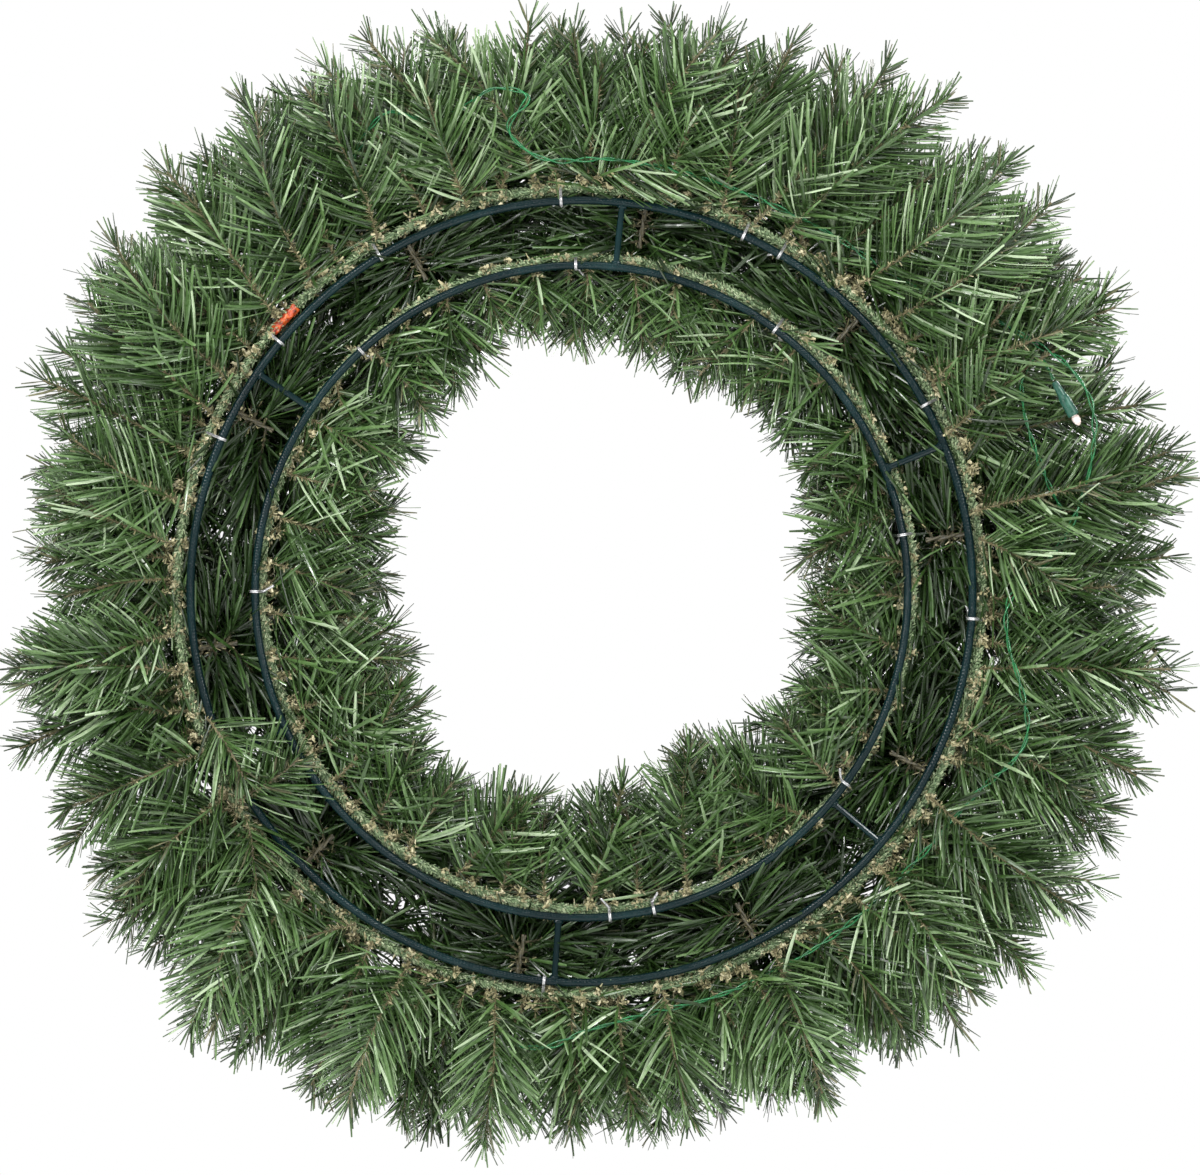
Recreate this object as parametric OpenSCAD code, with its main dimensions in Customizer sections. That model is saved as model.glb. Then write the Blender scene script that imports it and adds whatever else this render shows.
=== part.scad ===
// Lighted artificial pine wreath on a welded double-ring wire frame, seen and used hanging.
// Units are millimetres. +Z is up. +Y is the back of the wreath (the wire frame side), -Y is its face.
// The origin is the hang point: the underside of the outer ring at its top, where a nail or hook carries it.
// Inside the modules everything is laid out as seen from the back: x to the right, y up, z towards the viewer.

/* [Wire frame] */
// Radius of the outer ring's centre line
outer_ring_r = 205; // [150:1:300]
// Radius of the inner ring's centre line
inner_ring_r = 171; // [120:1:260]
// Thickness of the outer ring's wire
outer_wire_d = 4.3; // [2:0.1:8]
// Thickness of the inner ring's wire
inner_wire_d = 4.2; // [2:0.1:8]
// Thickness of the six welded cross bars
bar_d = 3.3; // [2:0.1:6]

/* [Garland stems] */
// Thickness of both twisted garland stems
stem_d = 4.4; // [3:0.1:8]
// Radius of the outer garland stem
outer_stem_r = 211.5; // [208:0.5:230]
// How far the outer stem lies in front of the ring plane
outer_stem_depth = 5; // [4:0.5:10]
// Radius of the inner garland stem
inner_stem_r = 171; // [160:0.5:180]
// How far the inner stem lies in front of the ring plane
inner_stem_depth = 6.6; // [6.5:0.1:10]

/* [Boughs] */
// Number of boughs on the outer stem
outer_count = 20; // [20]
// Number of boughs on the inner stem
inner_count = 14; // [14]
// Number of boughs on the face, between the rings
front_count = 10; // [10]
// Mean length of an outer bough from its stem
outer_len = 91; // [70:1:110]
// How much the outer boughs' length changes round the ring, longest at the upper right
outer_len_swing = 9; // [0:1:15]
// Mean length of an inner bough from its stem
inner_len = 59; // [40:1:62]
// How much the inner boughs' length changes round the ring, longest at the bottom
inner_len_swing = 11; // [0:1:12]
// Second, smaller change that squares off the opening inside the boughs
inner_len_ripple = 6; // [0:1:7]
// Length of a face bough from its root wire
front_len = 86; // [50:1:95]
// Angle that an outer or inner bough opens towards the back
fan_back = 8; // [0:1:10]
// Angle that an outer or inner bough opens towards the face
fan_front = 48; // [20:1:50]
// Half the angle that a face bough opens to each side
front_fan = 30; // [10:1:30]

/* [Twist ties] */
// Thickness of the tie wire
tie_d = 1.1; // [0.6:0.1:1.5]
// Length of each tie's twisted tail
tie_tail = 7; // [3:1:12]

/* [Light string] */
// Thickness of the twin wire
cord_d = 2.2; // [1.5:0.1:3]

/* [Tape tag] */
// Angle that the tape covers along the outer stem
tag_span = 5; // [3:0.1:5]

/* [Hidden] */
outer_wire_r = outer_wire_d / 2;
inner_wire_r = inner_wire_d / 2;
stem_r = stem_d / 2;
hang_drop = outer_ring_r - outer_wire_r;
// centres of the two stems as seen from the back: neither is quite centred on the rings
outer_stem_c = [-1, 0];
inner_stem_c = [3, 4];
bar_angles = [22, 84, 146, 205, 266, 320];
outer_tie_angles = [93, 121, 157, 65.5, 59.5, 28.5, 356, 264.5, 140.4];
inner_tie_angles = [91, 132.5, 53.5, 180, 10, 324, 275, 282.8];
tag_start = 134.8;
collar_in = stem_r + 0.3;
collar_out = stem_r + 1.7;
collar_len = 10;
outer_first = -0.5;
inner_first = 22;
front_first = 8.5;
front_root_depth = 11.2;
front_mid_r = 193.2;

// route of the light string's main run, seen from the back: from the foot, up the right side and over the top
run_points = [
    [-38, -236, 8], [-28, -238, 9], [-15, -237, 9], [2, -230, 7], [30, -222, 4],
    [70, -212, 4], [110, -194, 4], [146, -169, 4], [178, -138, 4], [206, -106, 5],
    [226, -88, 8], [233, -72, 9], [229, -48, 8], [223, -26, 5], [224, -4, 5],
    [242, 14, 8], [256, 36, 11], [264, 60, 14], [267, 80, 16], [266, 96, 16],
    [261, 108, 16], [252, 119, 15], [242, 126, 13], [230, 134, 9], [214, 143, 7],
    [190, 152, 7], [162, 166, 7], [132, 186, 6], [100, 202, 6], [70, 214, 6],
    [40, 222, 6], [14, 226, 7], [-15, 225, 9], [-31, 232, 10], [-38, 243, 12],
    [-28, 258, 13], [-46, 262, 14], [-62, 252, 12], [-80, 246, 11], [-99, 250, 13],
    [-110, 242, 12], [-119, 226, 11]
];
// the lamp's own lead, from the main run up to the lamp holder
lead_points = [
    [251, 43, 8], [246, 52, 7], [240, 66, 7], [235, 80, 8], [231, 95, 8],
    [230, 110, 9], [234, 120, 11], [241, 119, 13], [246, 110.5, 13.5]
];
holder_at = [246, 110, 13.5];
holder_dir = [13, -22, -1];

function outer_l(a) = outer_len + outer_len_swing * cos(a - 49);
function inner_l(a) = inner_len - inner_len_swing * cos(a - 94) + inner_len_ripple * cos(2 * (a + 10));
function outer_a(i) = outer_first + (i - 1) * 360 / outer_count;
function inner_a(i) = inner_first + (i - 1) * 360 / inner_count;
function front_a(i) = front_first + (i - 1) * 360 / front_count;

// smooth curve through a list of points
function curve_at(p, i, t) =
    let (n = len(p), a = p[max(i - 1, 0)], b = p[i], c = p[min(i + 1, n - 1)], d = p[min(i + 2, n - 1)])
    0.5 * (2 * b + (c - a) * t + (2 * a - 5 * b + 4 * c - d) * t * t + (3 * b - a - 3 * c + d) * t * t * t);
function smooth_path(p, per) =
    [for (i = [0 : len(p) - 2]) for (k = [0 : per - 1]) curve_at(p, i, k / per), p[len(p) - 1]];
function unit(v) = v / norm(v);

// everything is laid out as seen from the back, then stood up with the hang point at the origin
module hung() translate([0, 0, -hang_drop]) rotate([90, 0, 180]) children();

// a frame at a stem: x away from the stem, y towards the face, z along the stem
module at_stem(c, r, depth, a, turn = 0)
    translate([c[0] + r * cos(a), c[1] + r * sin(a), -depth]) rotate([0, 0, a + turn]) rotate([-90, 0, 0]) children();

module wire_ring(r, wire_r) rotate_extrude($fn = 96) translate([r, 0]) circle(r = wire_r, $fn = 20);

module outer_ring() color([0.06, 0.13, 0.14]) hung() wire_ring(outer_ring_r, outer_wire_r);

module inner_ring() color([0.06, 0.13, 0.14]) hung() wire_ring(inner_ring_r, inner_wire_r);

// a straight bar with its ends saddled against both rings
module cross_bar(i) color([0.07, 0.15, 0.16]) hung() rotate([0, 0, bar_angles[i - 1]])
    difference() {
        translate([inner_ring_r, 0, 0]) rotate([0, 90, 0]) cylinder(h = outer_ring_r - inner_ring_r, d = bar_d, $fn = 24);
        wire_ring(inner_ring_r, inner_wire_r + 0.01);
        wire_ring(outer_ring_r, outer_wire_r + 0.01);
    }

module outer_stem() color([0.55, 0.62, 0.5]) hung()
    translate([outer_stem_c[0], outer_stem_c[1], -outer_stem_depth]) wire_ring(outer_stem_r, stem_r);

module inner_stem() color([0.55, 0.62, 0.5]) hung()
    translate([inner_stem_c[0], inner_stem_c[1], -inner_stem_depth]) wire_ring(inner_stem_r, stem_r);

// distance from the rings' centre to a stem at an angle
function reach(c, r, a) = let (k = c[0] * cos(a) + c[1] * sin(a)) k + sqrt(k * k - c[0] * c[0] - c[1] * c[1] + r * r);

// a loop of wire drawn tight round a ring and its stem, with a short twisted tail
module tie(ring_r, ring_wire, c, sr, depth, a) {
    dr = reach(c, sr, a) - ring_r;
    span = sqrt(dr * dr + depth * depth);
    r = max(ring_wire, stem_r) + 0.12 + tie_d / 2;
    rotate([0, 0, a]) translate([ring_r, 0, 0]) rotate([90, 0, 0]) rotate([0, 0, atan2(-depth, dr)]) {
        translate([span, 0, 0]) rotate([0, 0, -90]) rotate_extrude(angle = 180, $fn = 32) translate([r, 0]) circle(d = tie_d, $fn = 14);
        rotate([0, 0, 90]) rotate_extrude(angle = 180, $fn = 32) translate([r, 0]) circle(d = tie_d, $fn = 14);
        for (s = [-1, 1]) translate([0, s * r, 0]) rotate([0, 90, 0]) cylinder(h = span, d = tie_d, $fn = 14);
        translate([-r, 0, 0]) rotate([0, -100, 0]) cylinder(h = tie_tail, d = tie_d * 1.3, $fn = 14);
    }
}

module twist_ties() color([0.8, 0.8, 0.82]) hung() {
    for (a = outer_tie_angles) tie(outer_ring_r, outer_wire_r, outer_stem_c, outer_stem_r, outer_stem_depth, a);
    for (a = inner_tie_angles) tie(inner_ring_r, inner_wire_r, inner_stem_c, inner_stem_r, inner_stem_depth, a);
}

module tape_tag() color([0.85, 0.25, 0.1]) hung() translate([outer_stem_c[0], outer_stem_c[1], -outer_stem_depth])
    rotate([0, 0, tag_start]) rotate_extrude(angle = tag_span, $fn = 96) translate([outer_stem_r, 0]) difference() {
        circle(r = stem_r + 1.3, $fn = 24);
        circle(r = stem_r + 0.15, $fn = 24);
    }

// the wrap that holds a bough on its stem and lets it be bent
module collar() difference() {
    translate([0, 0, -collar_len / 2]) cylinder(h = collar_len, r = collar_out, $fn = 32);
    translate([0, 0, -collar_len]) cylinder(h = 2 * collar_len, r = collar_in, $fn = 32);
}

// a bough on a stem: wrap, root wire and the closed outline of its needles, swept about the stem
module bough(l, half) {
    collar();
    rotate([0, 0, 20]) translate([(collar_in + collar_out) / 2, 0, 0]) rotate([0, 90, 0]) cylinder(h = 12, r = 1.8, $fn = 20);
    rotate([0, 0, -fan_back]) rotate_extrude(angle = fan_back + fan_front, $fn = 72) polygon([
        [10, -half * 0.24], [0.42 * l, -half * 0.8], [0.7 * l, -half], [0.9 * l, -half * 0.8], [l, -half * 0.4],
        [l, half * 0.4], [0.9 * l, half * 0.8], [0.7 * l, half], [0.42 * l, half * 0.8], [10, half * 0.24]
    ]);
}

module outer_bough(i) color([0.2, 0.36 + 0.04 * (i % 3), 0.2]) hung()
    at_stem(outer_stem_c, outer_stem_r, outer_stem_depth, outer_a(i)) bough(outer_l(outer_a(i)), 33);

module inner_bough(i) color([0.24, 0.42 + 0.04 * (i % 3), 0.24]) hung()
    at_stem(inner_stem_c, inner_stem_r, inner_stem_depth, inner_a(i), 180) bough(inner_l(inner_a(i)), 26.8);

// a face bough: a root wire lying across the frame and a fan of needles standing forward from it
module front_bough(i) color([0.28, 0.48 + 0.04 * (i % 3), 0.26]) hung()
    rotate([0, 0, front_a(i)]) translate([front_mid_r, 0, -front_root_depth]) rotate([0, 90, 0]) {
        translate([0, 0, -11.2]) cylinder(h = 34, r = 2, $fn = 24);
        rotate([0, 0, -front_fan]) rotate_extrude(angle = 2 * front_fan, $fn = 72) polygon([
            [1, -2], [9, -2.4], [25, -13], [0.7 * front_len, -14.4], [0.93 * front_len, -10], [front_len, -4],
            [front_len, 4], [0.93 * front_len, 10], [0.7 * front_len, 14.4], [25, 13], [9, 2.4], [1, 2]
        ]);
    }

// a round cord swept along a path
module cord(path, d, sides) {
    n = len(path);
    ring = function (i)
        let (t = unit(path[min(i + 1, n - 1)] - path[max(i - 1, 0)]), s = unit(cross(t, [0, 0, 1])), u = cross(s, t))
        [for (k = [0 : sides - 1]) path[i] + d / 2 * (cos(360 * k / sides) * s + sin(360 * k / sides) * u)];
    polyhedron(
        points = [for (i = [0 : n - 1]) each ring(i)],
        faces = [
            [for (k = [0 : sides - 1]) k],
            [for (k = [sides - 1 : -1 : 0]) (n - 1) * sides + k],
            for (i = [0 : n - 2]) for (k = [0 : sides - 1])
                each [
                    [i * sides + k, (i + 1) * sides + k, (i + 1) * sides + (k + 1) % sides],
                    [i * sides + k, (i + 1) * sides + (k + 1) % sides, i * sides + (k + 1) % sides]
                ]
        ]);
}

module light_wire() color([0.05, 0.55, 0.25]) hung() {
    cord(smooth_path(run_points, 2), cord_d, 8);
    cord(smooth_path(lead_points, 2), cord_d, 8);
}

// a frame whose z runs along the lamp holder
module at_holder() translate(holder_at) rotate([0, acos(unit(holder_dir)[2]), atan2(holder_dir[1], holder_dir[0])]) children();

module lamp_holder() color([0.1, 0.4, 0.28]) hung() at_holder() rotate_extrude($fn = 32) polygon([
    [0, 0.9], [1.5, 0.9], [1.9, 3], [2.3, 9], [2.9, 11], [3.1, 20], [2.9, 21], [1.9, 21], [1.9, 17], [0, 17]
]);

module lamp() color([0.95, 0.85, 0.8]) hung() at_holder() rotate_extrude($fn = 32) polygon([
    [0, 17.1], [1.6, 17.1], [1.6, 21.4], [2.1, 22.2], [2.2, 24], [1.7, 25.6], [0.8, 26.8], [0, 27.2]
]);

outer_ring();
inner_ring();
cross_bar(1);  // cross_bar_1
cross_bar(2);  // cross_bar_2
cross_bar(3);  // cross_bar_3
cross_bar(4);  // cross_bar_4
cross_bar(5);  // cross_bar_5
cross_bar(6);  // cross_bar_6
outer_stem();
inner_stem();
twist_ties();
tape_tag();
light_wire();
lamp_holder();
lamp();
outer_bough(1);  // outer_bough_01
outer_bough(2);  // outer_bough_02
outer_bough(3);  // outer_bough_03
outer_bough(4);  // outer_bough_04
outer_bough(5);  // outer_bough_05
outer_bough(6);  // outer_bough_06
outer_bough(7);  // outer_bough_07
outer_bough(8);  // outer_bough_08
outer_bough(9);  // outer_bough_09
outer_bough(10);  // outer_bough_10
outer_bough(11);  // outer_bough_11
outer_bough(12);  // outer_bough_12
outer_bough(13);  // outer_bough_13
outer_bough(14);  // outer_bough_14
outer_bough(15);  // outer_bough_15
outer_bough(16);  // outer_bough_16
outer_bough(17);  // outer_bough_17
outer_bough(18);  // outer_bough_18
outer_bough(19);  // outer_bough_19
outer_bough(20);  // outer_bough_20
inner_bough(1);  // inner_bough_01
inner_bough(2);  // inner_bough_02
inner_bough(3);  // inner_bough_03
inner_bough(4);  // inner_bough_04
inner_bough(5);  // inner_bough_05
inner_bough(6);  // inner_bough_06
inner_bough(7);  // inner_bough_07
inner_bough(8);  // inner_bough_08
inner_bough(9);  // inner_bough_09
inner_bough(10);  // inner_bough_10
inner_bough(11);  // inner_bough_11
inner_bough(12);  // inner_bough_12
inner_bough(13);  // inner_bough_13
inner_bough(14);  // inner_bough_14
front_bough(1);  // front_bough_01
front_bough(2);  // front_bough_02
front_bough(3);  // front_bough_03
front_bough(4);  // front_bough_04
front_bough(5);  // front_bough_05
front_bough(6);  // front_bough_06
front_bough(7);  // front_bough_07
front_bough(8);  // front_bough_08
front_bough(9);  // front_bough_09
front_bough(10);  // front_bough_10
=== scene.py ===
import math

import bpy
import numpy as np
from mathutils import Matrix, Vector


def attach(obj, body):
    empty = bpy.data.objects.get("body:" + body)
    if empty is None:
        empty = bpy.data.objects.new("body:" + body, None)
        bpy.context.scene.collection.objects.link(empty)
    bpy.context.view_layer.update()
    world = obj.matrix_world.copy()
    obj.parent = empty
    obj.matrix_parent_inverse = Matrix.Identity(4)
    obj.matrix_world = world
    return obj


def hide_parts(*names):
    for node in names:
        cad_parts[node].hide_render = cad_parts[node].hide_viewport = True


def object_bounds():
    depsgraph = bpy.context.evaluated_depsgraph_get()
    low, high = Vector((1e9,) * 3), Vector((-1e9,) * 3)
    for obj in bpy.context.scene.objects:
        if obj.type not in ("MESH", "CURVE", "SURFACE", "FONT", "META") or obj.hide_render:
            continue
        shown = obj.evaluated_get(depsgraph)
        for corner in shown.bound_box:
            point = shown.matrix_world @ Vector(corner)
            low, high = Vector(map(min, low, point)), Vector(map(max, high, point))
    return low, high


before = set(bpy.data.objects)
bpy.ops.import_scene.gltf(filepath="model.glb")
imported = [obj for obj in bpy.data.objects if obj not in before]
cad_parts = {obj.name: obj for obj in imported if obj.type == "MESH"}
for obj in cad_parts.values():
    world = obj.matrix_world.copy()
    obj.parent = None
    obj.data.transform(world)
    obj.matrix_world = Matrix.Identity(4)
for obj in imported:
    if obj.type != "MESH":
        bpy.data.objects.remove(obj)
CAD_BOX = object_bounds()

# ------------------------------------------------------------------ layout
# Everything is laid out as seen from the back, in mm: x right, y up, z towards
# the viewer, with the rings' centre at the origin. row() stands it up.
DROP = 202.85
OUT_C, OUT_R, OUT_Z = np.array([-1.0, 0.0]), 211.5, -5.0
IN_C, IN_R, IN_Z = np.array([3.0, 4.0]), 171.0, -6.6
FRONT_R, FRONT_Z = 193.2, -11.2
RING = {"outer": (205.0, 2.15), "inner": (171.0, 2.1)}
BARS = [22, 84, 146, 205, 266, 320]
OUTER_TIES = [93, 121, 157, 65.5, 59.5, 28.5, 356, 264.5, 140.4]
INNER_TIES = [91, 132.5, 53.5, 180, 10, 324, 275, 282.8]


def row(v):
    v = np.asarray(v, float).reshape(-1, 3)
    return np.stack([-v[:, 0], v[:, 2], v[:, 1] - DROP], 1) / 1000


def rad(a):
    return math.radians(a)


def unit(v):
    v = np.asarray(v, float)
    return v / np.maximum(np.linalg.norm(v, axis=-1, keepdims=True), 1e-12)


def e_r(a):
    return np.array([math.cos(rad(a)), math.sin(rad(a)), 0.0])


def e_t(a):
    return np.array([-math.sin(rad(a)), math.cos(rad(a)), 0.0])


EZ = np.array([0.0, 0.0, 1.0])


# ------------------------------------------------------------------ mesh building
class Soup:
    """Vertices and quads of one piece, with a tint and a place along each strand."""

    def __init__(self):
        self.v, self.q, self.m, self.tint, self.along, self.n = [], [], [], [], [], 0

    def add(self, v, q, mat, tint, along):
        v = np.asarray(v, float).reshape(-1, 3)
        self.v.append(v)
        self.q.append(np.asarray(q, np.int64).reshape(-1, 4) + self.n)
        self.m.append(np.full(len(self.q[-1]), mat, np.int32))
        self.tint.append(np.broadcast_to(np.asarray(tint, np.float32), (len(v),)))
        self.along.append(np.broadcast_to(np.asarray(along, np.float32), (len(v),)))
        self.n += len(v)

    def piece(self, name, mats, body, replaces=(), smooth=True):
        v, q = np.concatenate(self.v), np.concatenate(self.q)
        z = v[:, 2]
        z = np.where(z > 18, 18 + 10 * (1 - np.exp(-np.maximum(z - 18, 0) / 10)), z)
        v[:, 2] = np.where(z < -97, -97 - 10 * (1 - np.exp(np.minimum(z + 97, 0) / 10)), z)
        v = row(v)
        me = bpy.data.meshes.new(name)
        me.vertices.add(len(v))
        me.vertices.foreach_set("co", v.astype(np.float32).ravel())
        me.loops.add(q.size)
        me.loops.foreach_set("vertex_index", q.astype(np.int32).ravel())
        me.polygons.add(len(q))
        me.polygons.foreach_set("loop_start", np.arange(0, q.size, 4, dtype=np.int32))
        me.polygons.foreach_set("material_index", np.concatenate(self.m))
        me.polygons.foreach_set("use_smooth", np.full(len(q), smooth))
        for m in mats:
            me.materials.append(m)
        for key, data in (("tint", self.tint), ("along", self.along)):
            at = me.attributes.new(key, "FLOAT", "POINT")
            at.data.foreach_set("value", np.concatenate(data).astype(np.float32))
        me.update(calc_edges=True)
        me.validate(verbose=False)
        ob = bpy.data.objects.new(name, me)
        bpy.context.scene.collection.objects.link(ob)
        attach(ob, body)
        if replaces:
            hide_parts(*replaces)
        return ob


def frames(p, up=None):
    """Tangent, side and normal along a path, carried without twist."""
    t = unit(np.gradient(p, axis=0))
    s = np.empty_like(t)
    ref = np.array(EZ if up is None else up, float)
    if abs(t[0] @ ref) > 0.95:
        ref = np.array([1.0, 0.0, 0.0])
    s[0] = unit(np.cross(t[0], ref))
    for i in range(1, len(p)):
        s[i] = unit(s[i - 1] - (s[i - 1] @ t[i]) * t[i])
    return t, s, np.cross(t, s)


def tube(soup, p, r, sides, mat, tint=0.5, closed=False, squash=1.0):
    """A round tube along a path, with closed ends."""
    p = np.asarray(p, float)
    n = len(p)
    t, s, u = frames(p)
    r = np.broadcast_to(np.asarray(r, float), (n,))
    a = np.arange(sides) * 2 * math.pi / sides
    ring = (
        p[:, None]
        + r[:, None, None] * (np.cos(a)[None, :, None] * s[:, None] + squash * np.sin(a)[None, :, None] * u[:, None])
    )
    v = ring.reshape(-1, 3)
    i, k = np.meshgrid(np.arange(n if closed else n - 1), np.arange(sides), indexing="ij")
    j, k2 = (i + 1) % n, (k + 1) % sides
    q = np.stack([i * sides + k, i * sides + k2, j * sides + k2, j * sides + k], -1).reshape(-1, 4)
    if not closed:
        v = np.concatenate([v, p[:1], p[-1:]])
        c0, c1 = n * sides, n * sides + 1
        caps = []
        for m in range(0, sides, 2):
            a1, a2, a3 = m, (m + 1) % sides, (m + 2) % sides
            caps.append([c0, a3, a2, a1])
            b = (n - 1) * sides
            caps.append([c1, b + a1, b + a2, b + a3])
        q = np.concatenate([q, np.array(caps)])
    al = np.repeat(np.linspace(0, 1, n), sides)
    if not closed:
        al = np.concatenate([al, [0, 1]])
    soup.add(v, q, mat, tint, al)


def strands(soup, p, r, offset, pitch, count, sides, mat, tint=0.5, closed=False, phase=0.0):
    """Wires twisted round each other along a path."""
    p = np.asarray(p, float)
    t, s, u = frames(p)
    d = np.concatenate([[0], np.cumsum(np.linalg.norm(np.diff(p, axis=0), axis=1))])
    for c in range(count):
        a = 2 * math.pi * (d / pitch + c / count) + phase
        if closed:
            turns = max(1, round((d[-1] + np.linalg.norm(p[0] - p[-1])) / pitch))
            a = 2 * math.pi * (np.arange(len(p)) / len(p) * turns + c / count)
        tube(soup, p + offset * (np.cos(a)[:, None] * s + np.sin(a)[:, None] * u), r, sides, mat, tint, closed)


def blades(soup, base, d0, bend, side, length, width, thick, mat, tint, segs=3, tipw=0.62, twist=None):
    """Flat tapered blades: base points, start directions, bend vectors and width directions, one row for each."""
    n = len(base)
    if n == 0:
        return
    d0, side = unit(d0), np.asarray(side, float)
    side = unit(side - (side * d0).sum(1, keepdims=True) * d0)
    u = np.linspace(0, 1, segs + 1)
    prof = np.interp(u, [0, 0.2, 0.7, 1], [0.6, 1.0, 1.0, tipw])
    rings = []
    for k, (x, w) in enumerate(zip(u, prof)):
        c = base + length[:, None] * (x * d0 + x * x * bend)
        dirn = unit(d0 + 2 * x * bend)
        sd = unit(side - (side * dirn).sum(1, keepdims=True) * dirn)
        nm = np.cross(dirn, sd)
        if twist is not None:
            ca, sa = np.cos(twist * x)[:, None], np.sin(twist * x)[:, None]
            sd, nm = ca * sd + sa * nm, ca * nm - sa * sd
        hw, ht = (width * w / 2)[:, None], (thick / 2)[:, None]
        rings.append(np.stack([c - hw * sd, c + ht * nm, c + hw * sd, c - ht * nm], 1))
    v = np.stack(rings, 1).reshape(n, -1, 3)  # n x (4 * rings) x 3
    quads = []
    for k in range(segs):
        for j in range(4):
            j2 = (j + 1) % 4
            quads.append([4 * k + j, 4 * k + j2, 4 * k + 4 + j2, 4 * k + 4 + j])
    e = 4 * segs
    quads += [[0, 3, 2, 1], [e, e + 1, e + 2, e + 3]]
    per = 4 * (segs + 1)
    q = (np.array(quads)[None] + (np.arange(n) * per)[:, None, None]).reshape(-1, 4)
    al = np.tile(np.repeat(u, 4), n)
    soup.add(v.reshape(-1, 3), q, mat, np.repeat(tint, per), al)


# ------------------------------------------------------------------ light string's route
RUN = [
    [-38, -236, 8], [-28, -238, 9], [-15, -237, 9], [2, -230, 7], [30, -222, 4],
    [70, -212, 4], [110, -194, 4], [146, -169, 4], [178, -138, 4], [206, -106, 5],
    [226, -88, 8], [233, -72, 9], [229, -48, 8], [223, -26, 5], [224, -4, 5],
    [242, 14, 8], [256, 36, 11], [264, 60, 14], [267, 80, 16], [266, 96, 16],
    [261, 108, 16], [252, 119, 15], [242, 126, 13], [230, 134, 9], [214, 143, 7],
    [190, 152, 7], [162, 166, 7], [132, 186, 6], [100, 202, 6], [70, 214, 6],
    [40, 222, 6], [14, 226, 7], [-15, 225, 9], [-31, 232, 10], [-38, 243, 12],
    [-28, 258, 13], [-46, 262, 14], [-62, 252, 12], [-80, 246, 11], [-99, 250, 13],
    [-110, 242, 12], [-119, 226, 11],
]
LEAD = [
    [251, 43, 8], [246, 52, 7], [240, 66, 7], [235, 80, 8], [231, 95, 8],
    [230, 110, 9], [234, 120, 11], [241, 119, 13], [246, 110.5, 13.5],
]
HOLDER_AT, HOLDER_DIR = np.array([246, 110, 13.5]), unit(np.array([13.0, -22.0, -1.0]))


def smooth(points, per):
    p = np.array(points, float)
    out = []
    for i in range(len(p) - 1):
        a, b, c, d = p[max(i - 1, 0)], p[i], p[i + 1], p[min(i + 2, len(p) - 1)]
        for k in range(per):
            t = k / per
            out.append(0.5 * (2 * b + (c - a) * t + (2 * a - 5 * b + 4 * c - d) * t * t + (3 * b - a - 3 * c + d) * t ** 3))
    out.append(p[-1])
    return np.array(out)


# the stretches that lie on top of the needles: points and how wide the needles part
ON_TOP = []
for pts, wide in ((RUN[17:25], 2.0), (LEAD[:6], 2.0), (RUN[10:13], 1.6), (RUN[32:37], 1.6), (RUN[39:41], 1.6)):
    q = smooth(pts, 8)
    ON_TOP.append(np.column_stack([q, np.full(len(q), wide)]))
q = HOLDER_AT + np.linspace(0, 28, 16)[:, None] * HOLDER_DIR
ON_TOP.append(np.column_stack([q, np.full(16, 4.2)]))
ON_TOP = np.concatenate(ON_TOP)


def under_string(base, d0, sweep, length):
    """False for the needles that would lie over those stretches."""
    near = np.linalg.norm(ON_TOP[:, :2] - base[:, :2].mean(0), axis=1) < 95
    keep = np.ones(len(base), bool)
    if not near.any():
        return keep
    q = ON_TOP[near]
    d0 = unit(d0)
    for x in (0.0, 0.2, 0.4, 0.6, 0.8, 1.0):
        p = base + length[:, None] * (x * d0 + x * x * sweep)
        gap = np.hypot(p[:, None, 0] - q[None, :, 0], p[:, None, 1] - q[None, :, 1])
        keep &= ~((gap < q[None, :, 3]) & (p[:, None, 2] > q[None, :, 2] - 1.5)).any(1)
    return keep


NEEDLE, CORE, TUFT = 0, 1, 2
THIN = 1.0


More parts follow.
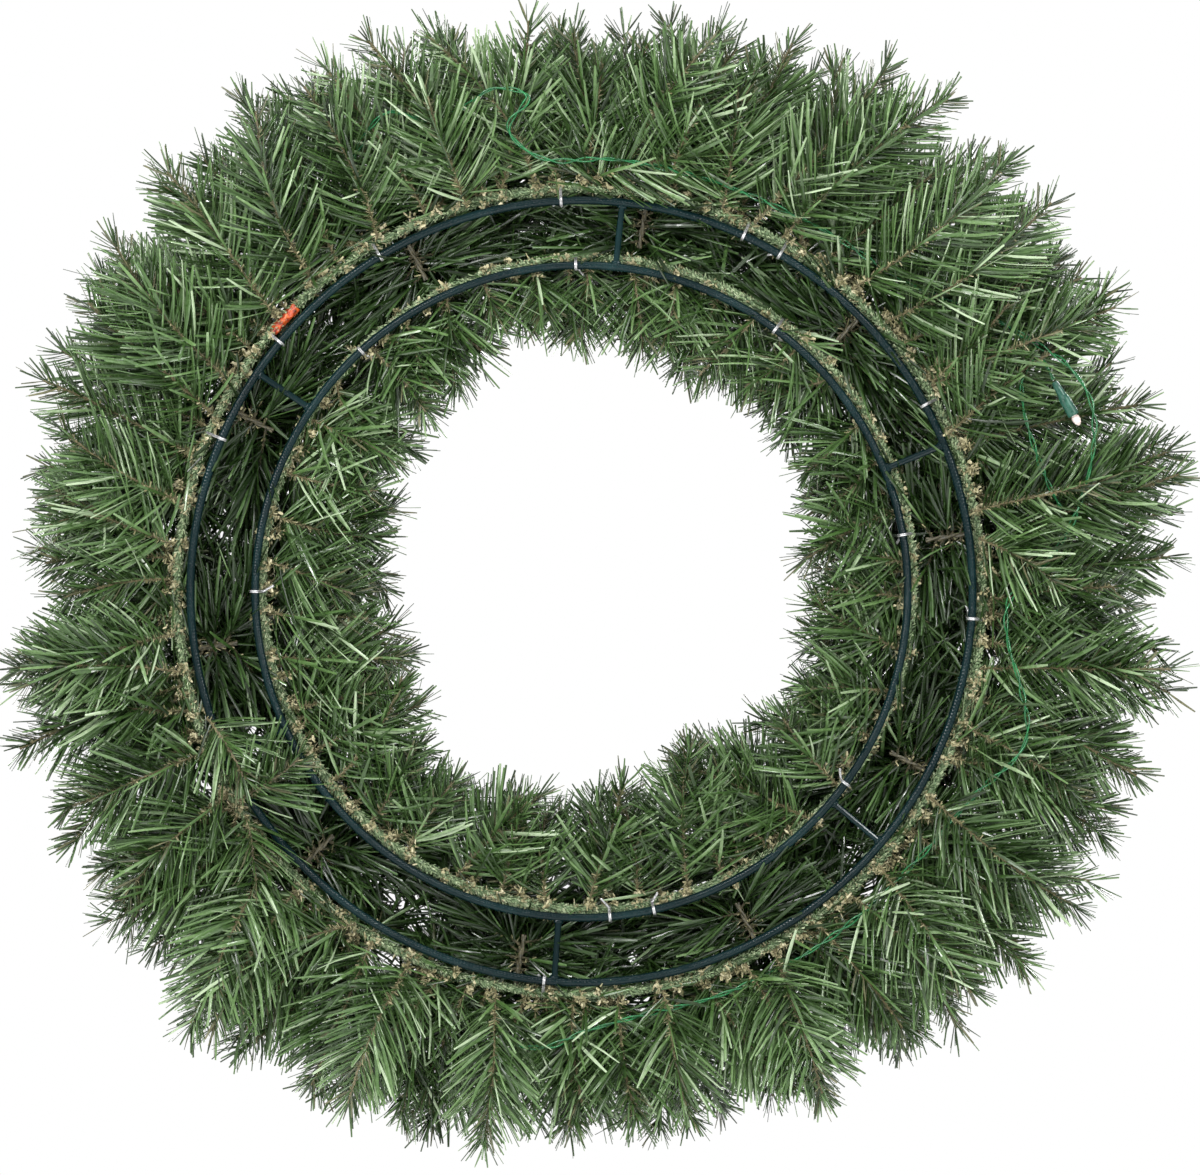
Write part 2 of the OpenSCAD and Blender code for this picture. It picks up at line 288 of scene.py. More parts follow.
def tip(soup, rng, root, direction, length, up, tone_and_painted_shade=0.0, needle=33.0, bend=None, density=1.85, comb=0.66, fuzz=1.0, wire=None):
    """One wired branch tip: a thin twisted core, long flat needles on its first part and a dense brush of short ones at its end."""
    d = unit(direction)
    up = unit(np.asarray(up, float) - (np.asarray(up, float) @ d) * d)
    w = np.cross(d, up)
    if bend is None:
        bend = rng.normal(0, 0.17) * w + rng.normal(0, 0.06) * up
    x = np.linspace(0, 1, 15)
    wob = np.sin(x * 5.3 + rng.uniform(0, 6))[:, None] * w * 0.9 + np.sin(x * 4.1 + rng.uniform(0, 6))[:, None] * up * 0.9
    core = root + length * (x[:, None] * d + (x * x)[:, None] * bend) + wob * x[:, None]
    over = np.hypot(core[:, None, 0] - ON_TOP[None, -16:, 0], core[:, None, 1] - ON_TOP[None, -16:, 1]) < 5
    if (over & (core[:, None, 2] > 9)).any():
        return  # nothing lies across the lamp
    at = lambda s: np.stack([np.interp(s, x, core[:, k]) for k in range(3)], 1)
    strands(soup, at(np.linspace(0, 1, 30)), 0.5, 0.42, 6.0, 2, 4, CORE, 0.3 + 0.4 * rng.random() if wire is None else wire, phase=rng.uniform(0, 6))

    # long needles
    end = min(0.78, max(0.5, 1 - 26 / length))
    n = max(8, int(length * end * density * THIN))
    s = 0.05 + (end - 0.05) * (np.arange(n) + rng.random(n)) / n
    m = int(104 * THIN)
    s = np.concatenate([s, rng.uniform(end - 0.2, 1.0, m)])
    brush = np.arange(len(s)) >= n
    n = len(s)
    base = at(s)
    t = unit(d + 2 * s[:, None] * bend)
    u = unit(up - (t @ up)[:, None] * t)
    v = np.cross(t, u)
    # most needles comb out to the tip's two sides, the rest stand all round it
    az = np.where(rng.random(n) < np.where(brush, 0.4, comb), math.pi * rng.integers(0, 2, n) + rng.normal(0, 0.36, n), rng.uniform(0, 2 * math.pi, n))
    out = np.cos(az)[:, None] * v + 0.8 * np.sin(az)[:, None] * u
    lift = np.radians(np.where(brush, np.interp(s, [0.6, 0.93, 1], [50, 46, 27]), np.interp(s, [0, 0.25, 0.8], [63, 53, 44])) + rng.normal(0, 5, n))
    d0 = np.cos(lift)[:, None] * t + np.sin(lift)[:, None] * out
    ln = np.where(brush, needle * 0.42 * rng.uniform(0.65, 1.15, n), needle * np.interp(s, [0, 0.2, 0.55, 0.8], [0.7, 1.0, 0.97, 0.7]) * rng.uniform(0.86, 1.08, n))
    sweep = rng.uniform(0.04, 0.22, n)[:, None] * t + rng.normal(0, 0.03, (n, 3))
    stray = rng.random(n) < 0.07
    d0 = d0 + stray[:, None] * rng.normal(0, 0.5, (n, 3))
    tang = np.cross(t, d0)
    nor = np.cross(unit(d0), unit(tang))
    psi = rng.normal(0, 0.75, n)
    side = np.cos(psi)[:, None] * unit(tang) + np.sin(psi)[:, None] * nor
    wd = np.where(brush, rng.uniform(0.9, 1.4, n), rng.uniform(1.2, 1.95, n))
    # needle tone: a random spread plus the tone and painted shade passed in; one needle in ten is painted paler, up
    # towards the ramp's pale silver-green top, as a painted glint; brush needles are darker
    tint = np.clip(rng.normal(0.45, 0.2, n) + tone_and_painted_shade + (rng.random(n) < 0.1) * rng.uniform(0.2, 0.45, n) - 0.16 * brush, 0, 1)
    twist = rng.normal(0, 0.55, n)
    keep = under_string(base + 0.4 * out, d0, sweep, ln)
    green = rng.random(n) > 0.15 * brush
    for use, mat, hue, segs in ((green & keep & ~brush, NEEDLE, tint, 3), (green & keep & brush, NEEDLE, tint, 2), (~green & keep, TUFT, tint * 0.35, 2)):
        blades(soup, (base + 0.4 * out)[use], d0[use], sweep[use], side[use], ln[use], wd[use], np.where(brush, 0.35, 0.45)[use], mat, hue[use], segs=segs, twist=twist[use])

    # crinkled film along the core, tan near the root and olive further out
    m = int(length * 1.5 * fuzz * THIN)
    sb = np.concatenate([rng.uniform(0.0, 0.95, m), rng.uniform(0.0, 0.25, m // 3)])
    m = len(sb)
    ob = unit(rng.normal(0, 1, (m, 3)))
    ob = unit(ob - (ob @ d)[:, None] * d + 0.35 * d)
    blades(soup, at(sb) + 0.4 * ob, ob, rng.normal(0, 0.3, (m, 3)), rng.normal(0, 1, (m, 3)), rng.uniform(1.2, 3.2, m), rng.uniform(0.7, 1.5, m), np.full(m, 0.3), TUFT, np.clip(rng.normal(0.42, 0.2, m) - 0.3 * sb, 0, 1), segs=1)


def tuft(soup, rng, at, axis, size=5.0, count=46):
    """The crinkled tan and olive ends where a tip is wound on."""
    m = int(count * 1.5 * THIN)
    axis = unit(axis)
    lumps = at + axis * rng.uniform(-3.5, 3.5, 4)[:, None] + unit(rng.normal(0, 1, (4, 3))) * rng.uniform(1.5, 3.4, 4)[:, None]
    base = lumps[rng.integers(0, 4, m)] + rng.normal(0, 1.0, (m, 3))
    o = unit(rng.normal(0, 1, (m, 3)))
    blades(soup, base, o, rng.normal(0, 0.4, (m, 3)), rng.normal(0, 1, (m, 3)), rng.uniform(0.22, 0.42, m) * size, rng.uniform(1.1, 2.0, m), np.full(m, 0.35), TUFT, np.clip(rng.normal(0.62, 0.22, m), 0, 1), segs=2)


# ------------------------------------------------------------------ materials
def new_mat(name, colour, rough):
    m = bpy.data.materials.new(name)
    m.use_nodes = True
    m.diffuse_color = (*colour, 1)
    p = m.node_tree.nodes["Principled BSDF"]
    p.inputs["Base Color"].default_value = (*colour, 1)
    p.inputs["Roughness"].default_value = rough
    return m, m.node_tree, p


def node(nt, kind, **values):
    n = nt.nodes.new(kind)
    for k, v in values.items():
        if k in n.inputs:
            n.inputs[k].default_value = v
        else:
            setattr(n, k, v)
    return n


def ramp(nt, fac, stops):
    r = nt.nodes.new("ShaderNodeValToRGB")
    while len(r.color_ramp.elements) < len(stops):
        r.color_ramp.elements.new(0.5)
    for e, (at, c) in zip(r.color_ramp.elements, stops):
        e.position, e.color = at, (*c, 1)
    nt.links.new(fac, r.inputs["Fac"])
    return r.outputs["Color"]


def maths(nt, op, a, b=None, clamp=False):
    n = nt.nodes.new("ShaderNodeMath")
    n.operation, n.use_clamp = op, clamp
    for i, x in enumerate((a, b)):
        if x is None:
            continue
        if isinstance(x, (int, float)):
            n.inputs[i].default_value = x
        else:
            nt.links.new(x, n.inputs[i])
    return n.outputs[0]


def mapped(nt, socket, a, b, c, d):
    n = node(nt, "ShaderNodeMapRange")
    nt.links.new(socket, n.inputs["Value"])
    for k, v in zip(("From Min", "From Max", "To Min", "To Max"), (a, b, c, d)):
        n.inputs[k].default_value = v
    return n.outputs["Result"]


def obj_noise(nt, scale, detail=3.0, rough=0.55):
    co = nt.nodes.new("ShaderNodeTexCoord")
    n = node(nt, "ShaderNodeTexNoise", Scale=scale, Detail=detail, Roughness=rough)
    nt.links.new(co.outputs["Object"], n.inputs["Vector"])
    return n.outputs["Fac"]


def bump(nt, p, height, strength, distance):
    b = node(nt, "ShaderNodeBump", Strength=strength, Distance=distance)
    nt.links.new(height, b.inputs["Height"])
    nt.links.new(b.outputs["Normal"], p.inputs["Normal"])


def needle_mat():
    m, nt, p = new_mat("pvc_needles", (0.055, 0.11, 0.045), 0.36)
    tint = node(nt, "ShaderNodeAttribute", attribute_name="tint").outputs["Fac"]
    along = node(nt, "ShaderNodeAttribute", attribute_name="along").outputs["Fac"]
    spots = obj_noise(nt, 420, 3)
    mix = maths(nt, "ADD", maths(nt, "ADD", tint, mapped(nt, spots, 0.3, 0.7, -0.07, 0.07)), mapped(nt, along, 0, 1, -0.08, 0.08), True)
    # the ramp's pale silver-green top stop is a painted highlight, reached mostly by the needles painted as glints
    col = ramp(nt, mix, [
        (0.0, (0.005, 0.014, 0.002)),
        (0.28, (0.016, 0.038, 0.007)),
        (0.5, (0.040, 0.084, 0.021)),
        (0.72, (0.082, 0.145, 0.048)),
        (1.0, (0.25, 0.32, 0.20)),
    ])
    nt.links.new(col, p.inputs["Base Color"])
    nt.links.new(mapped(nt, obj_noise(nt, 160, 2), 0.35, 0.65, 0.22, 0.42), p.inputs["Roughness"])
    p.inputs["Specular IOR Level"].default_value = 0.4
    return m


def core_mat():
    m, nt, p = new_mat("twig_core", (0.085, 0.072, 0.034), 0.6)
    tint = node(nt, "ShaderNodeAttribute", attribute_name="tint").outputs["Fac"]
    mix = maths(nt, "ADD", maths(nt, "MULTIPLY", tint, 0.6), mapped(nt, obj_noise(nt, 700, 4), 0.25, 0.75, 0.0, 0.5), True)
    nt.links.new(ramp(nt, mix, [(0.0, (0.010, 0.011, 0.005)), (0.22, (0.030, 0.027, 0.012)), (0.5, (0.085, 0.072, 0.034)), (1.0, (0.17, 0.14, 0.07))]), p.inputs["Base Color"])
    nt.links.new(mapped(nt, obj_noise(nt, 900, 2), 0.3, 0.7, 0.45, 0.75), p.inputs["Roughness"])
    return m


def tuft_mat():
    m, nt, p = new_mat("tan_tufts", (0.2, 0.17, 0.08), 0.55)
    tint = node(nt, "ShaderNodeAttribute", attribute_name="tint").outputs["Fac"]
    mix = maths(nt, "ADD", tint, mapped(nt, obj_noise(nt, 500, 3), 0.3, 0.7, -0.14, 0.14), True)
    nt.links.new(ramp(nt, mix, [(0.0, (0.035, 0.042, 0.016)), (0.35, (0.115, 0.11, 0.048)), (0.65, (0.27, 0.245, 0.13)), (1.0, (0.46, 0.42, 0.27))]), p.inputs["Base Color"])
    nt.links.new(mapped(nt, obj_noise(nt, 300, 2), 0.3, 0.7, 0.4, 0.65), p.inputs["Roughness"])
    return m


def stem_mat():
    m, nt, p = new_mat("garland_film", (0.19, 0.26, 0.13), 0.45)
    tint = node(nt, "ShaderNodeAttribute", attribute_name="tint").outputs["Fac"]
    mix = maths(nt, "ADD", tint, mapped(nt, obj_noise(nt, 350, 3), 0.3, 0.7, -0.15, 0.15), True)
    nt.links.new(ramp(nt, mix, [(0.0, (0.045, 0.08, 0.036)), (0.35, (0.12, 0.185, 0.085)), (0.65, (0.23, 0.305, 0.16)), (1.0, (0.42, 0.47, 0.3))]), p.inputs["Base Color"])
    nt.links.new(mapped(nt, obj_noise(nt, 240, 2), 0.3, 0.7, 0.35, 0.6), p.inputs["Roughness"])
    return m


def paint_mat():
    m, nt, p = new_mat("powder_coat", (0.016, 0.036, 0.04), 0.34)
    big, small = obj_noise(nt, 26, 4), obj_noise(nt, 1300, 3)
    mix = maths(nt, "ADD", maths(nt, "MULTIPLY", big, 0.6), maths(nt, "MULTIPLY", small, 0.4))
    nt.links.new(ramp(nt, mix, [(0.3, (0.001, 0.005, 0.006)), (0.5, (0.002, 0.009, 0.010)), (0.62, (0.004, 0.016, 0.017)), (0.75, (0.013, 0.032, 0.034))]), p.inputs["Base Color"])
    nt.links.new(mapped(nt, obj_noise(nt, 60, 4), 0.3, 0.7, 0.07, 0.16), p.inputs["Roughness"])
    # fine lay marks round the wire, as on a coated rod
    co = nt.nodes.new("ShaderNodeTexCoord")
    xyz = nt.nodes.new("ShaderNodeSeparateXYZ")
    nt.links.new(co.outputs["Object"], xyz.inputs[0])
    turn = maths(nt, "ARCTAN2", maths(nt, "ADD", xyz.outputs["Z"], DROP / 1000), xyz.outputs["X"])
    lay = maths(nt, "SINE", maths(nt, "ADD", maths(nt, "MULTIPLY", turn, 700.0), maths(nt, "MULTIPLY", xyz.outputs["Y"], 1500.0)))
    bump(nt, p, maths(nt, "ADD", maths(nt, "MULTIPLY", lay, 0.4), maths(nt, "MULTIPLY", small, 0.35)), 0.4, 0.0003)
    p.inputs["Specular IOR Level"].default_value = 0.13
    return m


def tie_mat():
    m, nt, p = new_mat("tie_wire", (0.45, 0.45, 0.46), 0.3)
    nt.links.new(ramp(nt, obj_noise(nt, 500, 3), [(0.3, (0.3, 0.3, 0.3)), (0.7, (0.62, 0.62, 0.63))]), p.inputs["Base Color"])
    nt.links.new(mapped(nt, obj_noise(nt, 800, 2), 0.3, 0.7, 0.2, 0.45), p.inputs["Roughness"])
    p.inputs["Metallic"].default_value = 0.75
    return m


def tape_mat():
    m, nt, p = new_mat("orange_tape", (0.3, 0.038, 0.008), 0.4)
    nt.links.new(ramp(nt, obj_noise(nt, 420, 5), [(0.34, (0.08, 0.01, 0.005)), (0.5, (0.3, 0.035, 0.008)), (0.68, (0.56, 0.11, 0.016))]), p.inputs["Base Color"])
    nt.links.new(mapped(nt, obj_noise(nt, 300, 3), 0.3, 0.7, 0.28, 0.5), p.inputs["Roughness"])
    bump(nt, p, obj_noise(nt, 220, 3), 0.5, 0.0005)
    return m


def wire_mat():
    m, nt, p = new_mat("emerald_wire", (0.003, 0.095, 0.03), 0.28)
    nt.links.new(ramp(nt, obj_noise(nt, 130, 3), [(0.3, (0.001, 0.05, 0.011)), (0.5, (0.002, 0.085, 0.021)), (0.72, (0.006, 0.14, 0.037))]), p.inputs["Base Color"])
    nt.links.new(mapped(nt, obj_noise(nt, 300, 2), 0.3, 0.7, 0.2, 0.38), p.inputs["Roughness"])
    return m


def holder_mat():
    m, nt, p = new_mat("lamp_holder_plastic", (0.016, 0.07, 0.048), 0.3)
    nt.links.new(ramp(nt, obj_noise(nt, 200, 3), [(0.3, (0.008, 0.04, 0.026)), (0.6, (0.016, 0.07, 0.048)), (0.8, (0.045, 0.13, 0.095))]), p.inputs["Base Color"])
    nt.links.new(mapped(nt, obj_noise(nt, 400, 2), 0.3, 0.7, 0.2, 0.4), p.inputs["Roughness"])
    bump(nt, p, obj_noise(nt, 500, 2), 0.3, 0.0002)
    p.inputs["Specular IOR Level"].default_value = 0.3
    return m


def lamp_mat():
    m, nt, p = new_mat("lamp_glass", (0.95, 0.82, 0.76), 0.06)
    nt.links.new(ramp(nt, obj_noise(nt, 300, 2), [(0.3, (0.9, 0.72, 0.66)), (0.7, (1.0, 0.93, 0.88))]), p.inputs["Base Color"])
    p.inputs["Transmission Weight"].default_value = 0.55
    p.inputs["IOR"].default_value = 1.45
    return m


NEEDLES, TWIG, TAN, FILM = needle_mat(), core_mat(), tuft_mat(), stem_mat()
PAINT, TIE, TAPE, WIRE, HOLDER, GLASS = paint_mat(), tie_mat(), tape_mat(), wire_mat(), holder_mat(), lamp_mat()
FOLIAGE = [NEEDLES, TWIG, TAN]

for name in ["outer_ring", "inner_ring"] + [f"cross_bar_{i}" for i in range(1, 7)]:
    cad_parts[name].data.materials.clear()
    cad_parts[name].data.materials.append(PAINT)

# ------------------------------------------------------------------ boughs
# how far the foliage reaches from the rings' centre, every 10 degrees round
OUTER_EDGE = [310, 316, 311, 318, 316, 318, 316, 311, 302, 296, 299, 307, 313, 307, 307, 303, 299, 289, 288, 297, 308, 300, 301, 303, 298, 296, 290, 285, 287, 290, 295, 297, 302, 304, 303, 308]
INNER_EDGE = [115, 116, 121, 132, 132, 128, 125, 127, 127, 131, 138, 131, 123, 118, 109, 108, 105, 100, 100, 99, 95, 101, 102, 110, 111, 108, 105, 104, 99, 95, 94, 99, 109, 114, 116, 113]


def edge(table, angle):
    return np.interp(np.asarray(angle) % 360, np.arange(0, 361, 10), table + table[:1])


def along_stem(soup, rng, c, r, z, a, inward, plan):
    """Tips wound on a stretch of garland stem: plan rows are (place and lean in degrees, degrees forward, share of the reach)."""
    base_shade = rng.normal(0, 0.03)
    for at, lean, fore, share in plan:
        at = a + at + rng.normal(0, 0.7)
        lean, fore = rad(lean + rng.normal(0, 7)), rad(fore + rng.normal(0, 3.5))
        root = np.array([*(c + r * e_r(at)[:2]), z + (3.5 if fore < rad(-18) else 0)])
        out = -e_r(at) if inward else e_r(at)
        flat = math.cos(lean) * out + math.sin(lean) * e_t(at)
        d = math.cos(fore) * flat - math.sin(fore) * EZ
        table = INNER_EDGE if inward else OUTER_EDGE
        full = abs(np.hypot(*root[:2]) - edge(table, a))
        length = (full - 8) * share * rng.uniform(0.96, 1.02)
        up = EZ if abs(d @ EZ) < 0.8 else out
        # tips that leave steeply towards the back curve over and lie flat again
        over = rng.normal(0, 0.17) * np.cross(d, up) + (-0.36 * EZ if fore < rad(-18) else rng.normal(0, 0.06) * up)
        if share > 0.9 and fore < 0.8:
            # grow it until its brush ends on the wreath's outline
            tall = np.arange(24.0, 1.3 * full, 0.5)
            ends = root + 2.5 * d + tall[:, None] * (d + over)
            gap = np.hypot(ends[:, 0], ends[:, 1]) - edge(table, np.degrees(np.arctan2(ends[:, 1], ends[:, 0])))
            short = -9 + np.clip(rng.normal(0, 4), -8, 6) if inward else -4 + np.clip(rng.normal(0, 6), -12, 7)
            past = np.nonzero((-gap if inward else gap) > short)[0]
            length = float(tall[past[0]]) if len(past) else 1.08 * length
        # painted shade: tips that lean further away from the viewer, under the upper layers, are painted darker, more
        # the steeper they lean; this is subtracted from the bough's random tone
        painted_depth_shade = 0.3 if fore > 1.2 else 0.22 if fore > 0.5 else 0.1 if fore > 0.15 else 0.0
        tip(soup, rng, root + 2.5 * d, d, length, up, base_shade + rng.normal(0, 0.05) - painted_depth_shade, bend=over, fuzz=0.4 if fore > 1.2 else 1.0)


STRAYS = {
    1: [(208, 28, 1, 252, 8, 16)],
    2: [(206, 42, 2, 275, 62, 22), (192, 82, 2, 240, 134, 17)],
    3: [(184, 110, 2, 226, 150, 15)],
    5: [(74, 201, 2, 88, 262, 15)],
    6: [(5, 216, 1, 80, 243, 9)],
    7: [(-60, 201, 1, -84, 266, 20)],
    12: [(-196, -66, 1, -172, -98, 9)],
    13: [(-181, -110, 1, -143, -92, 9), (-176, -117, 1, -166, -152, 9)],
    14: [(-118, -174, 1, -198, -193, 9)],
}


def outer_bough(i):
    a = -0.5 + (i - 1) * 18
    rng = np.random.default_rng(1000 + i)
    soup = Soup()
    swing = rng.uniform(-14, 14)
    # where the light string shows, the tips lie under it
    back = -8 if i in (1, 2, 6, 7, 16, 20) else -30
    plan = [
        (-6.2, swing - 6, back, rng.uniform(0.93, 1.03)), (0.2, swing * 0.6, -10, rng.uniform(0.76, 1.0)), (6.0, swing + 6, back, rng.uniform(0.9, 1.03)),
        (-3.2, -swing, 3, 1.0), (3.4, -swing * 0.5 + 4, 5, 0.97),
        (-6.0, 3, 17, 1.0), (4.6, -2, 20, 1.0),
        (-4.5, -3, 34, 1.0), (3.0, 4, 36, 1.0),
        (-3.5, 0, 54, 0.9), (4.0, 0, 57, 0.9),
        (-3.5, 56, 12, 0.5), (4.5, -58, 16, 0.5),
        (-7, 0, 84, 0.6), (4, 8, 88, 0.62), (-4, -10, 106, 0.6), (0.5, 10, 114, 0.58), (6, -5, 108, 0.6),
    ]
    along_stem(soup, rng, OUT_C, OUT_R, OUT_Z, a, False, plan)
    # tips that strayed over the outer ring
    for x0, y0, z0, x1, y1, z1 in STRAYS.get(i, ()):
        start, stop = np.array([x0, y0, z0], float), np.array([x1, y1, z1], float)
        d = stop - start
        side = unit(np.cross(d, EZ))
        # it leaves the stem steeply and lies over
        tip(soup, rng, start, d + 8 * EZ, float(np.linalg.norm(d)), EZ, rng.normal(0.02, 0.05), bend=-0.14 * EZ + rng.normal(0, 0.1) * side, comb=0.8)
    for at, *_ in plan[:5]:
        at = a + at
        tuft(soup, rng, np.array([*(OUT_C + (OUT_R + rng.uniform(0, 3)) * e_r(at)[:2]), OUT_Z + 1.6]), e_r(at), rng.uniform(4.5, 6.5), 34)
    return soup.piece(f"outer_bough_{i:02d}_needles", FOLIAGE, f"outer_bough_{i:02d}", [f"outer_bough_{i:02d}"], smooth=False)


def inner_bough(i):
    a = 22 + (i - 1) * 360 / 14
    rng = np.random.default_rng(2000 + i)
    soup = Soup()
    swing = rng.uniform(-16, 16)
    plan = [
        (-9, swing + 6, -5, 1.0), (0.3, swing * 0.6, -7, rng.uniform(0.75, 0.95)), (8.8, swing - 6, -5, rng.uniform(0.85, 1.0)),
        (-5, -swing, 12, 0.95), (4.6, -swing, 14, 0.9),
        *([(-7, 6, 32, 1.0)] if i in (3, 4, 10, 11) else [(-7, 6, 32, 1.0), (6, -3, 34, 0.95)]),
        (2, 0, 56, 1.05),
        (6, -54, 20, 0.7),
        (-9, 0, 76, 1.0), (1, 0, 80, 1.05), (9, 5, 78, 1.0), (-9, 0, 104, 0.95), (-2, 8, 114, 0.95), (4, -8, 106, 0.95), (10, 0, 112, 0.95),
    ]
    along_stem(soup, rng, IN_C, IN_R, IN_Z, a, True, plan)
    for at, *_ in plan[:5]:
        at = a + at
        tuft(soup, rng, np.array([*(IN_C + (IN_R - rng.uniform(0, 3)) * e_r(at)[:2]), IN_Z + 1.6]), e_r(at), rng.uniform(4.5, 6.5), 28)
    return soup.piece(f"inner_bough_{i:02d}_needles", FOLIAGE, f"inner_bough_{i:02d}", [f"inner_bough_{i:02d}"], smooth=False)


def front_bough(i):
    a = 8.5 + (i - 1) * 36
    rng = np.random.default_rng(3000 + i)
    soup = Soup()
    r, t = e_r(a), e_t(a)
    root = FRONT_R * r + np.array([0, 0, FRONT_Z])
    bar = [root + r * x for x in np.linspace(-10, 21, 9)]
    # painted shade: these boughs sit back in the band between the rings, so their root bar and cores get the darkest
    # core tone and their needles a tone lowered by about 0.38
    strands(soup, bar, 0.8, 0.7, 5.0, 2, 5, CORE, 0.0)
    for lean, out, at, ln in [
        (-76, 22, 8, 70), (-76, -20, -4, 70), (76, -22, -6, 70), (76, 20, 8, 70), (-68, 2, 2, 66), (68, 0, 2, 66),
        (-52, 22, 4, 66), (-50, -24, 0, 66), (52, 20, 4, 66), (50, -22, 0, 66),
        (-36, 0, 4, 68), (36, 0, 4, 68), (-20, 18, 0, 70), (20, -14, 6, 70), (0, 8, 0, 72), (-4, -16, 8, 70), (8, 24, -4, 66),
    ]:
        lean, out = rad(lean + rng.normal(0, 4)), rad(out + rng.normal(0, 6))
        d = -math.cos(lean) * math.cos(out) * EZ + math.sin(lean) * math.cos(out) * t + math.sin(out) * r
        curl = -0.1 * math.sin(lean) * t - 0.12 * abs(math.sin(lean)) * EZ + rng.normal(0, 0.05, 3)
        tip(soup, rng, root + r * at, d, ln * rng.uniform(0.94, 1.04), r, rng.normal(-0.38, 0.05), bend=curl, comb=0.2, fuzz=0.1, wire=0.0)
    tuft(soup, rng, root + r * 14, r, 3.6, 7)
    return soup.piece(f"front_bough_{i:02d}_needles", FOLIAGE, f"front_bough_{i:02d}", [f"front_bough_{i:02d}"], smooth=False)


for k in range(1, 21):
    outer_bough(k)
for k in range(1, 15):
    inner_bough(k)
for k in range(1, 11):
    front_bough(k)


# ------------------------------------------------------------------ garland stems
def circle_path(c, r, z, n):
    a = np.linspace(0, 2 * math.pi, n, endpoint=False)
    return np.stack([c[0] + r * np.cos(a), c[1] + r * np.sin(a), np.full(n, z)], 1)


def stem(name, c, r, z, seed):
    rng = np.random.default_rng(seed)
    soup = Soup()
    path = circle_path(c, r, z, 520)
    strands(soup, path, 1.05, 0.85, 9.0, 2, 6, 0, 0.25, closed=True)
    n = int(2 * math.pi * r * 12 * THIN)
    th = rng.uniform(0, 2 * math.pi, n)
    er = np.stack([np.cos(th), np.sin(th), 0 * th], 1)
    et = np.stack([-np.sin(th), np.cos(th), 0 * th], 1)
    ez = np.tile(EZ, (n, 1))
    # the film lies in a steep spiral round the wires
    az = rng.uniform(0, 2 * math.pi, n)
    o = np.cos(az)[:, None] * er + np.sin(az)[:, None] * ez
    about = np.cross(et, o)
    base = np.stack([c[0] + r * np.cos(th), c[1] + r * np.sin(th), np.full(n, z)], 1) + rng.uniform(1.3, 2.1, n)[:, None] * o
    d = 0.55 * o + rng.normal(0.75, 0.3, n)[:, None] * et + rng.normal(0.55, 0.25, n)[:, None] * about
    lane = np.sin(th * r * 2 * math.pi / 5.2 - az)
    blades(soup, base, d, rng.normal(0, 0.15, (n, 3)) - 0.25 * o, about + rng.normal(0, 0.4, (n, 3)), rng.uniform(1.5, 2.9, n), rng.uniform(1.0, 1.8, n), np.full(n, 0.25), 0, np.clip(rng.normal(0.56, 0.17, n) + 0.17 * lane, 0, 1), segs=1)
    # tan ends stand proud here and there
    m = int(2 * math.pi * r * 0.8 * THIN)
    spots = rng.uniform(0, 2 * math.pi, 75)
    th = spots[rng.integers(0, 75, m)] + rng.normal(0, 2.0 / r, m)
    er = np.stack([np.cos(th), np.sin(th), 0 * th], 1)
    az = rng.uniform(0, 2 * math.pi, m)
    o = unit(np.cos(az)[:, None] * er + np.sin(az)[:, None] * EZ + rng.normal(0, 0.5, (m, 3)))
    base = np.stack([c[0] + r * np.cos(th), c[1] + r * np.sin(th), np.full(m, z)], 1) + 1.6 * o
    blades(soup, base, o, rng.normal(0, 0.3, (m, 3)), rng.normal(0, 1, (m, 3)), rng.uniform(1.3, 2.7, m), rng.uniform(1.0, 1.8, m), np.full(m, 0.3), 1, np.clip(rng.normal(0.6, 0.2, m), 0, 1), segs=2)
    return soup.piece(name + "_film", [FILM, TAN], "frame", [name])


stem("outer_stem", OUT_C, OUT_R, OUT_Z, 41)
stem("inner_stem", IN_C, IN_R, IN_Z, 42)


# ------------------------------------------------------------------ ties, welds, tape
def reach(c, r, a):
    k = c[0] * math.cos(rad(a)) + c[1] * math.sin(rad(a))
    return k + math.sqrt(k * k - c @ c + r * r)


def ties():
    rng = np.random.default_rng(7)
    soup = Soup()
    for ring, c, sr, depth, angles in (("outer", OUT_C, OUT_R, 5.0, OUTER_TIES), ("inner", IN_C, IN_R, 6.6, INNER_TIES)):
        rr, wr = RING[ring]
        for a in angles:
            dr = reach(c, sr, a) - rr
            span, big, small = math.hypot(dr, depth), wr + 0.5, 2.1
            slope = math.atan2(-depth, dr)
            er, et = e_r(a), e_t(a)
            ux, uy = math.cos(slope) * er + math.sin(slope) * EZ, -math.sin(slope) * er + math.cos(slope) * EZ
            o = rr * er
            for lap in (-0.38, 0.38):
                pts = []
                for k in range(13):
                    w = math.pi / 2 - math.pi * k / 12
                    pts.append(o + (span + small * math.cos(w)) * ux + small * math.sin(w) * uy)
                for k in range(13):
                    w = -math.pi / 2 - math.pi * k / 12
                    pts.append(o + big * math.cos(w) * ux + big * math.sin(w) * uy)
                pts = np.array(pts) + lap * et
                tube(soup, pts, 0.37, 8, 0, closed=True)
            tail0 = o + 0.5 * span * ux - (0.5 * (big + small) + 0.2) * uy
            td = unit(et * rng.choice([-1, 1]) * rng.uniform(0.5, 1.0) - uy * rng.uniform(0.6, 1.2))
            ln = rng.uniform(5.5, 8.0)
            x = np.linspace(0, 1, 26)[:, None]
            strands(soup, tail0 + ln * (x * td + x * x * rng.normal(0, 0.12, 3)), 0.4, 0.4, 2.2, 2, 6, 0)
    return soup.piece("twist_tie_wires", [TIE], "frame", ["twist_ties"])


ties()


